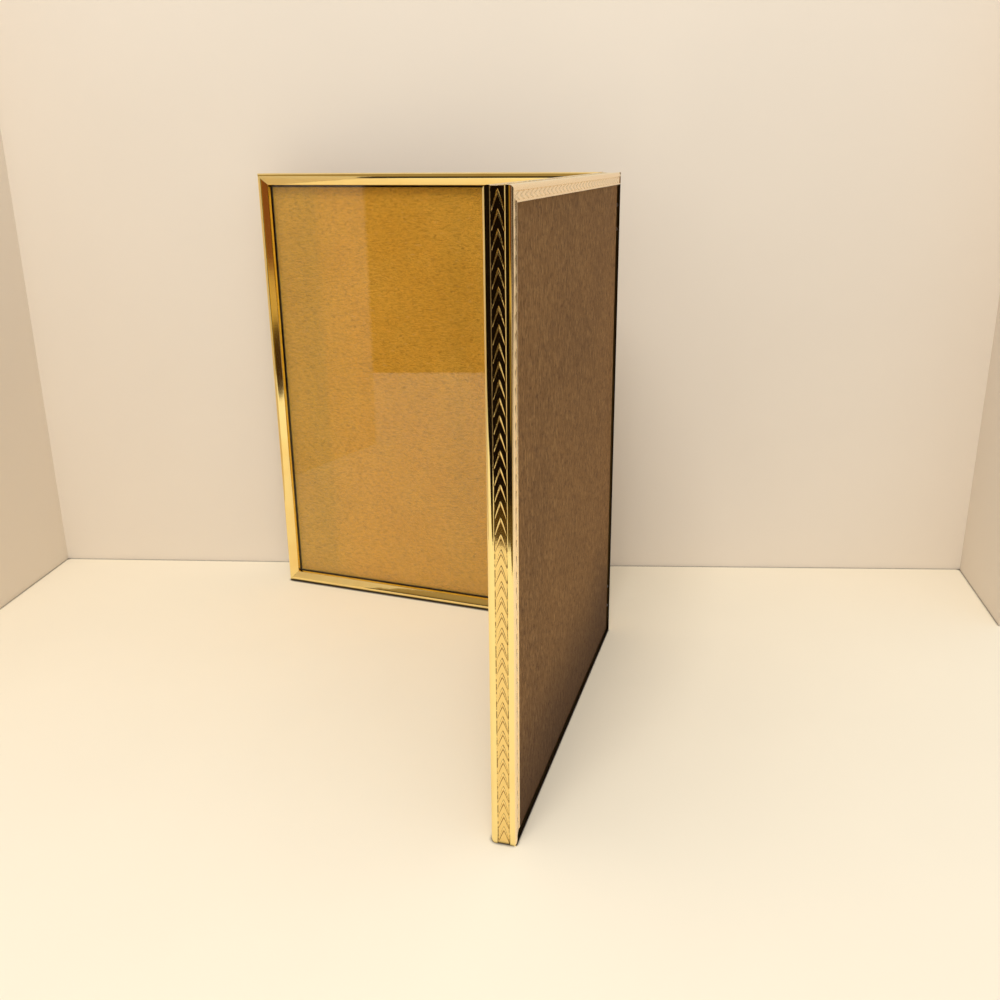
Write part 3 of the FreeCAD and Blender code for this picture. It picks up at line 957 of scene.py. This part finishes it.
# %% [markdown]
# ## Dress the nodes of the model
#
# The sheets, hinges, corner angles and rivets keep the shapes of the CAD model, so each of
# its nodes only gets a material. The rails need none: the swept pieces stand in for them.

# %% Give each node its material
def material_of(node):
    """The material of a carried node, by what its name ends in, or None for the rails."""
    if node.endswith("picture_card"):
        return CARDS[node.split("_")[0]]
    for ending, material in {
        "glass": GLASS, "filler_pad": PAD, "back_board": BOARD,
        "hinge_plate": HINGE_BRASS, "hinge_pin": HINGE_BRASS,
        "bracket": BRACKET_STEEL, "rivets": BRACKET_STEEL,
    }.items():
        if node.endswith(ending):
            return material
    return None


def dress(node, material):
    slots = frame["nodes"][node].material_slots
    for slot in slots:
        slot.material = material
    if not slots:
        frame["nodes"][node].data.materials.append(material)


dressed = {node: material_of(node) for node in frame["nodes"] if material_of(node)}
for node, material in dressed.items():
    dress(node, material)
print("dressed", len(dressed), "of", len(frame["nodes"]), "nodes")

# %% [markdown]
# ## The camera
#
# The camera was fitted to the corners and edges of both leaves in the photograph. The box
# round the frame is easiest to place as the camera sees it, so its directions come first.

# %% Where the camera stands, and directions along its line of sight
CAMERA_SPOT = Vector((0.46877, -0.22412, 0.26679))
CAMERA_HEADING = math.radians(153.7643)
CAMERA_PITCH = math.radians(18.787)
CAMERA_ROLL = math.radians(-0.598)
FILM_WIDTH = 36
FOCAL_LENGTH = FILM_WIDTH * 1.01849

AHEAD = Vector((math.cos(CAMERA_HEADING), math.sin(CAMERA_HEADING), 0))
RIGHTWARD = Vector((math.sin(CAMERA_HEADING), -math.cos(CAMERA_HEADING), 0))


def in_box(right, ahead, height=0.0):
    """A place given from the hinge axis, to the right and ahead as the camera sees it."""
    foot = Vector((HINGE_AXIS.x, HINGE_AXIS.y, 0))
    return foot + RIGHTWARD * right + AHEAD * ahead + Vector((0, 0, height))


def add_camera():
    camera = bpy.data.cameras.new("camera")
    camera.sensor_width = FILM_WIDTH
    camera.lens = FOCAL_LENGTH
    camera.clip_start = 0.01
    holder = bpy.data.objects.new("camera", camera)
    look = AHEAD * math.cos(CAMERA_PITCH) - Vector((0, 0, math.sin(CAMERA_PITCH)))
    above = RIGHTWARD.cross(look)
    right = RIGHTWARD * math.cos(CAMERA_ROLL) + above * math.sin(CAMERA_ROLL)
    above = above * math.cos(CAMERA_ROLL) - RIGHTWARD * math.sin(CAMERA_ROLL)
    turned = Matrix((right, above, -look)).transposed().to_4x4()
    holder.matrix_world = Matrix.Translation(CAMERA_SPOT) @ turned
    bpy.context.scene.collection.objects.link(holder)
    bpy.context.scene.camera = holder


add_camera()
print("camera", round((CAMERA_SPOT - HINGE_AXIS).length, 3), "m from the hinge")

# %% [markdown]
# ## The pale box
#
# The frame stands on a cream table in a white box. The gold is a mirror, so the box is half
# of what it looks like. Floor and walls are plain stage pieces. The walls are clear from
# behind, so the other views can look in, and the floor carries a painted contact shadow
# close round whatever stands on it.

# %% Paint for the walls and the floor
WALL_CREAM = rgb(238, 227, 212)
FLOOR_CREAM = rgb(247, 237, 216)
FLOOR_CONTACT_SHADE = rgb(40, 24, 12)
CONTACT_SHADE_REACH = 0.003       # in metres, how near a surface has to be for painted contact shadow on the floor


def make_paint(name, colour):
    """Matt paint with faint mottling; its shader is left open for more."""
    paint = Finish(name)
    mottle = paint.noise(paint.coordinates(), 9.0, 3.0)
    tone = paint.mix(mottle, colour, tuple(v * 0.95 for v in colour[:3]) + (1,))
    return paint, tone


def matt(paint, tone):
    inputs = {"Base Color": tone, "Roughness": 0.9, "Specular IOR Level": 0.0}
    return paint.node("ShaderNodeBsdfPrincipled", {}, inputs)


def make_wall_paint():
    """Paint on the side that faces the box, and nothing on the other side."""
    paint, tone = make_paint("cream_wall", WALL_CREAM)
    behind = paint.node("ShaderNodeNewGeometry", output="Backfacing")
    clear = paint.node("ShaderNodeBsdfTransparent", {}, {"Color": (1, 1, 1, 1)})
    shown = {0: behind, 1: matt(paint, tone), 2: clear}
    return paint.finish(paint.node("ShaderNodeMixShader", {}, shown))


def make_floor_paint():
    """Paint with a painted contact shadow close round whatever stands on it."""
    paint, tone = make_paint("cream_floor", FLOOR_CREAM)
    open_sky = paint.node(
        "ShaderNodeAmbientOcclusion", {"samples": 12}, {"Distance": CONTACT_SHADE_REACH}, output="AO"
    )
    # painted contact shadow on the floor close round whatever stands on it
    contact_shade = 1 - open_sky.ramp(0.45, 0.85)
    return paint.finish(matt(paint, paint.mix(contact_shade * 0.9, tone, FLOOR_CONTACT_SHADE)))


WALL_PAINT = make_wall_paint()
FLOOR_PAINT = make_floor_paint()
print("materials", WALL_PAINT.name, "and", FLOOR_PAINT.name)

# %% Walls and floor
WALL_HEIGHT = 0.40
WALL_LINE = [
    (-0.403, -0.180), (-0.380, -0.071), (-0.366, 0.038), (-0.357, 0.118),
    (-0.204, 0.108), (0.029, 0.094), (0.255, 0.082), (0.241, -0.005),
]
TABLE_OUTLINE = [
    (-0.493, -0.54), (-0.24, -0.483), (1.2, -0.483), (1.2, 1.2),
    (-1.2, 1.2), (-1.2, 0.04), (-0.661, -0.402),
]


def make_stage(name, points, faces, material):
    mesh = bpy.data.meshes.new(name)
    mesh.from_pydata([tuple(point) for point in points], [], faces)
    piece = new_object(name, mesh, material)


# One folded wall faces the object, from the left of the box round to the right.
feet = [in_box(*spot) for spot in WALL_LINE]
tops = [foot + Vector((0, 0, WALL_HEIGHT)) for foot in feet]
folds = [(i, i + 1, len(feet) + i + 1, len(feet) + i) for i in range(len(feet) - 1)]
make_stage("box_walls", feet + tops, folds, WALL_PAINT)

corners = [in_box(*spot) for spot in TABLE_OUTLINE]
make_stage("table_top", corners, [range(len(corners))], FLOOR_PAINT)
print("walls", len(folds), "folds; table", len(corners), "corners")

# %% [markdown]
# ## The room that the gold mirrors
#
# Light for matt surfaces is plain and even, and the camera sees white. Mirrors see a dim
# room instead, with a few large plain areas: without it the gold would be flat yellow. Each
# area is a direction, how far it spreads from it, and the heights between which it stands.

# %% What the mirrors see
PLAIN_LIGHT = (0.69, 0.674, 0.65, 1)
ROOM_DARK = (0.006, 0.003, 0.001, 1)        # low in the room
ROOM_DIM = (0.36, 0.26, 0.13, 1)            # towards its ceiling
BLUR = 0.01                                 # at the upper and lower edge of an area
ROOM_THINGS = [
    # direction to the right and ahead, spread, lowest, highest, colour
    ((0.6, 0.8), 1.0, 0.22, 2.0, (0.80, 0.68, 0.54)),
    ((-0.35, -0.94), 0.07, 0.60, 0.97, (1.5, 1.35, 1.15)),
    ((0.60, -0.80), 0.12, 0.25, 0.62, (0.75, 0.58, 0.38)),
    ((-0.25, -0.97), 0.025, -0.26, 0.15, (0.42, 0.27, 0.04)),
    ((-0.50, -0.86), 0.30, -0.45, -0.33, (0.10, 0.06, 0.015)),
    ((0.05, -1.0), 0.05, -0.26, -0.15, (0.05, 0.022, 0.006)),
    ((0.05, -1.0), 0.05, -0.15, -0.10, (0.62, 0.40, 0.12)),
    ((0.05, -1.0), 0.05, -0.10, 0.10, (0.22, 0.075, 0.02)),
    ((0.73, -0.69), 0.05, -0.40, 0.20, (0.20, 0.155, 0.13)),
    ((0.45, -0.89), 0.012, -0.40, -0.12, (0.62, 0.50, 0.42)),
]
print("the room has", len(ROOM_THINGS), "plain areas")


# %% A dim room for the mirrors, plain light for the rest
def make_room():
    world = bpy.data.worlds.new("room")
    bpy.context.scene.world = world
    room = Finish("room", world)

    def on_vectors(operation, values, output=0):
        return room.node("ShaderNodeVectorMath", {"operation": operation}, values, output)

    glossy = room.node("ShaderNodeLightPath", output="Is Glossy Ray")
    seen = room.node("ShaderNodeLightPath", output="Is Camera Ray")
    direction = room.node("ShaderNodeTexCoord", output="Generated")
    _, _, height = room.parts(direction)
    level = on_vectors("MULTIPLY", {0: direction, 1: (1, 1, 0)})
    compass = on_vectors("NORMALIZE", {0: level})
    dim = room.mix(height.ramp(0.12, 0.5), ROOM_DARK, ROOM_DIM)
    for towards, spread, low, high, glow in ROOM_THINGS:
        centre = (RIGHTWARD * towards[0] + AHEAD * towards[1]).normalized()
        facing = on_vectors("DOT_PRODUCT", {0: compass, 1: centre}, "Value")
        near = facing.ramp(1 - spread, 1 - spread * 0.7)
        above = height.ramp(low - BLUR, low + BLUR)
        below = 1 - height.ramp(high - BLUR, high + BLUR)
        dim = room.mix(near * (above * below), dim, (*glow, 1))
    plain = room.mix(seen, PLAIN_LIGHT, (1, 1, 1, 1))
    light = room.node("ShaderNodeBackground", {}, {"Color": room.mix(glossy, plain, dim)})
    room.finish(light, "ShaderNodeOutputWorld")


make_room()
print("world", bpy.context.scene.world.name)

# %% [markdown]
# ## Two lamps
#
# A soft lamp overhead and a stronger one behind the left of the camera give the shadows of
# the photograph. The mirrors don't see them, because the room has its own bright areas.

# %% Lamps, and colours shown as they are
LAMPS = {
    # lamp: (place, what it points at, width, watts, colour)
    "overhead": (in_box(-0.1, -0.1, 1.1), in_box(0, 0, 0.1), 0.7, 0.6, (1.0, 0.98, 0.94)),
    "front_left": (in_box(-0.22, -0.8, 1.5), in_box(0, 0, 0.12), 0.6, 12.8, (1.0, 0.985, 0.955)),
}
for name, (spot, target, width, watts, colour) in LAMPS.items():
    lamp = bpy.data.lights.new(name, "AREA")
    lamp.size = width
    lamp.energy = watts
    lamp.color = colour
    holder = bpy.data.objects.new(name, lamp)
    holder.location = spot
    holder.visible_glossy = False
    holder.rotation_euler = (target - spot).to_track_quat("-Z", "Y").to_euler()
    bpy.context.scene.collection.objects.link(holder)
    print(name, "lamp", round((target - spot).length, 2), "m away")
bpy.context.scene.view_settings.view_transform = "Standard"
